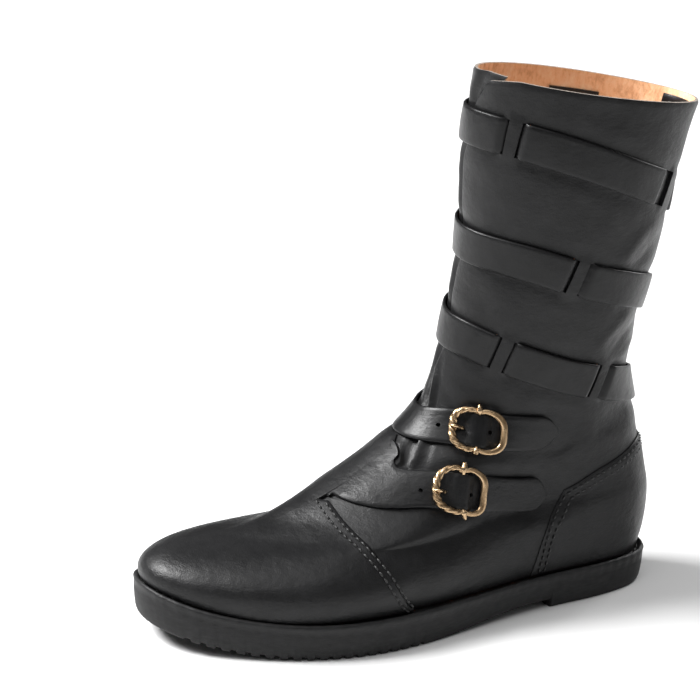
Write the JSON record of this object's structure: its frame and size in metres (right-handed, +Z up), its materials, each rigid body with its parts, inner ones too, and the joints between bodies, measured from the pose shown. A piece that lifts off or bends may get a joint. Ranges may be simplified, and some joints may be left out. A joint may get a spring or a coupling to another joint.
{
  "type": "mid-calf boot",
  "caption": "Left mid-calf leather boot with an overlapping front, wrapped by a long strap that dips under narrow bridges of the shaft and fastens at the ankle.",
  "frame": {"origin": "centre of the heel's flat bottom, on the floor", "axes": "+Z up, -Y towards the toe, +X towards the lateral side of a left foot"},
  "size_m": [0.1097, 0.3032, 0.3009],
  "materials": {
    "sole_rubber": "matt black, worn grey side",
    "sole_edge": "satin black edge",
    "footbed": "natural undyed leather",
    "upper_leather": "smooth semi-gloss black leather",
    "strap_leather": "smooth glossy black leather",
    "buckle_metal": "antique brass, engraved"
  },
  "bodies": {
    "root": {"outsole": "sole_rubber", "midsole": "sole_edge", "insole": "footbed", "upper": "upper_leather", "vamp": "upper_leather", "heel_counter": "upper_leather", "wrap_strap": "strap_leather", "collar_patch": "strap_leather", "back_stay": "strap_leather", "buckle_upper": "buckle_metal", "buckle_lower": "buckle_metal", "prong_upper": "buckle_metal", "prong_lower": "buckle_metal"}
  },
  "joints": []
}
